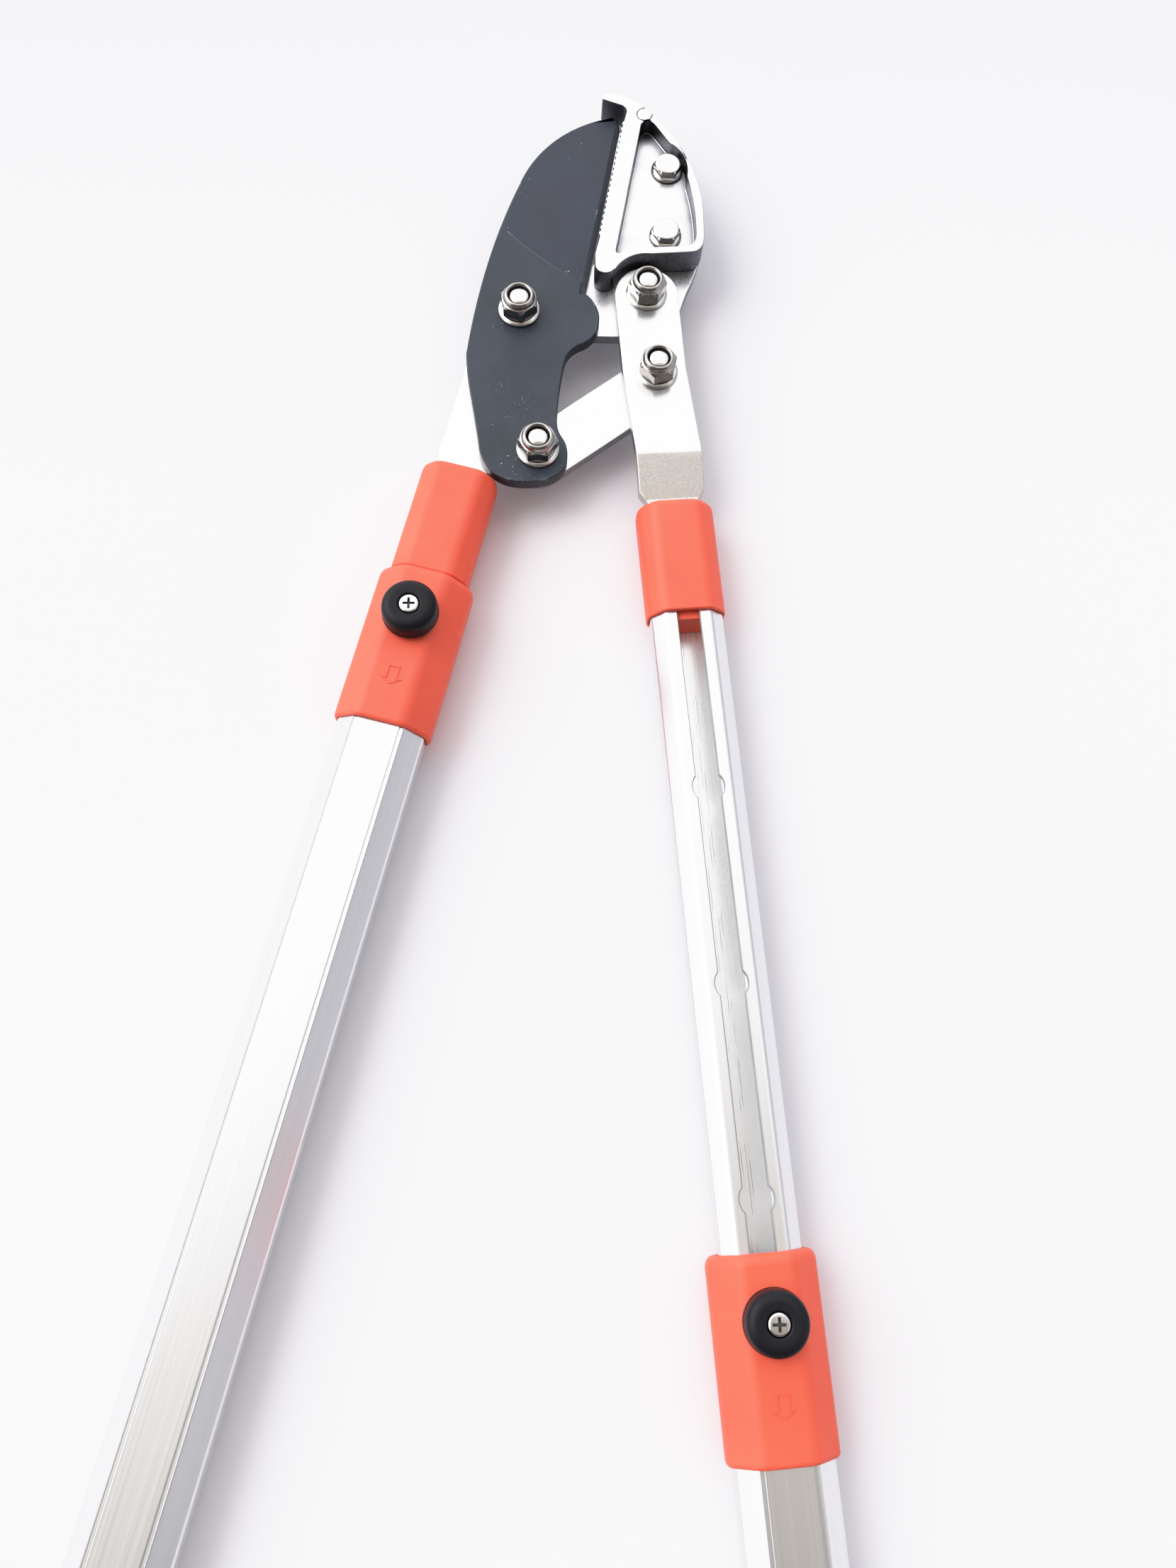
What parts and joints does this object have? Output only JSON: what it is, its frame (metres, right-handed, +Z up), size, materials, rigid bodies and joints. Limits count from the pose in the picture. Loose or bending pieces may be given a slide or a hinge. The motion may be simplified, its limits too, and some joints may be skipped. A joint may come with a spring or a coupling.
{
  "type": "telescopic anvil loppers",
  "caption": "Long-handled garden loppers: a coated blade closes on a serrated anvil through a lever and link, on telescopic tube handles with push-button locks.",
  "frame": {"origin": "middle of the bounding box at the level the loppers lie on, under the button housings and grips", "axes": "+Y from the grips towards the blade's tip, +Z up out of the face with the nuts and buttons, +X towards the lever handle"},
  "size_m": [0.307, 0.9444, 0.0346],
  "materials": {
    "plated_steel": "zinc-plated and lightly brushed flat steel, bright silver with faint draw lines",
    "die_casting": "bead-blasted die-cast alloy, satin with rounded edges",
    "coated_blade": "dark slate non-stick coating, satin, with small chips to bright steel along the edges",
    "bright_fasteners": "bright nickel-plated steel",
    "tube_metal": "drawn aluminium tube, satin, with lengthways lines",
    "orange_plastic": "coral orange moulded plastic, satin with a fine grain",
    "black_plastic": "near-black moulded plastic, semi-gloss",
    "grip_rubber": "black soft-touch rubber, matt with moulded ribs",
    "spring_steel": "plain drawn spring wire"
  },
  "bodies": {
    "head_frame": {"body_plate": "plated_steel", "anvil_casting": "die_casting", "anvil_bolt_upper": "bright_fasteners", "anvil_bolt_lower": "bright_fasteners", "anvil_rivet": "bright_fasteners", "blade_pivot_bolt": "bright_fasteners", "blade_pivot_washer": "bright_fasteners", "blade_pivot_nut": "bright_fasteners", "lever_pivot_bolt": "bright_fasteners", "lever_pivot_washer": "bright_fasteners", "lever_pivot_nut": "bright_fasteners", "left_inner_tube": "tube_metal", "left_collar": "orange_plastic", "left_tang_plug": "orange_plastic", "left_tang_rivet_upper": "bright_fasteners", "left_tang_rivet_lower": "bright_fasteners", "left_guide_bush": "black_plastic"},
    "blade_arm": {"blade": "coated_blade", "blade_link_bolt": "bright_fasteners", "blade_link_washer": "bright_fasteners", "blade_link_nut": "bright_fasteners"},
    "lever_arm": {"lever": "plated_steel", "lever_link_bolt": "bright_fasteners", "lever_link_washer": "bright_fasteners", "lever_link_nut": "bright_fasteners", "right_inner_tube": "tube_metal", "right_collar": "orange_plastic", "right_tang_plug": "orange_plastic", "right_tang_rivet_upper": "bright_fasteners", "right_tang_rivet_lower": "bright_fasteners", "right_guide_bush": "black_plastic"},
    "link_bar": {"link": "plated_steel"},
    "left_slider": {"left_outer_tube": "tube_metal", "left_button_housing": "orange_plastic", "left_grip": "grip_rubber", "left_end_cap": "orange_plastic", "left_button_spring": "spring_steel"},
    "right_slider": {"right_outer_tube": "tube_metal", "right_button_housing": "orange_plastic", "right_grip": "grip_rubber", "right_end_cap": "orange_plastic", "right_button_spring": "spring_steel"},
    "left_button": {"left_button_knob": "black_plastic", "left_button_screw": "bright_fasteners", "left_locking_pin": "bright_fasteners"},
    "right_button": {"right_button_knob": "black_plastic", "right_button_screw": "bright_fasteners", "right_locking_pin": "bright_fasteners"}
  },
  "joints": [
    {"name": "lever_pivot", "type": "hinge", "parent": "head_frame", "child": "lever_arm", "pos_m": [0.07286, 0.38089, 0.01505], "axis": [0, 0, 1], "range_deg": [0, 55]},
    {"name": "blade_pivot", "type": "hinge", "parent": "head_frame", "child": "blade_arm", "pos_m": [0.02356, 0.37239, 0.01505], "axis": [0, 0, 1], "range_deg": [0, 33]},
    {"name": "link_pivot", "type": "hinge", "parent": "lever_arm", "child": "link_bar", "pos_m": [0.07586, 0.34589, 0.01505], "axis": [0, 0, 1], "range_deg": [-50.5, 0]},
    {"name": "left_extend", "type": "slide", "parent": "head_frame", "child": "left_slider", "axis": [-0.2521, -0.9677, 0], "range_m": [0, 0.2485]},
    {"name": "right_extend", "type": "slide", "parent": "lever_arm", "child": "right_slider", "axis": [0.0706, -0.9975, 0], "range_m": [-0.2161, 0.0324]},
    {"name": "left_button_press", "type": "slide", "parent": "left_slider", "child": "left_button", "axis": [0, 0, 1], "range_m": [-0.0014, 0], "stiffness_N_per_m": 1500, "springref_m": 0.003, "deforming": ["left_button_spring"]},
    {"name": "right_button_press", "type": "slide", "parent": "right_slider", "child": "right_button", "axis": [0, 0, 1], "range_m": [-0.0014, 0], "stiffness_N_per_m": 1500, "springref_m": 0.003, "deforming": ["right_button_spring"]}
  ],
  "couplings": [
    {"joint": "blade_pivot", "follows": "lever_pivot", "ratio": 0.595},
    {"joint": "link_pivot", "follows": "lever_pivot", "ratio": -0.91}
  ]
}
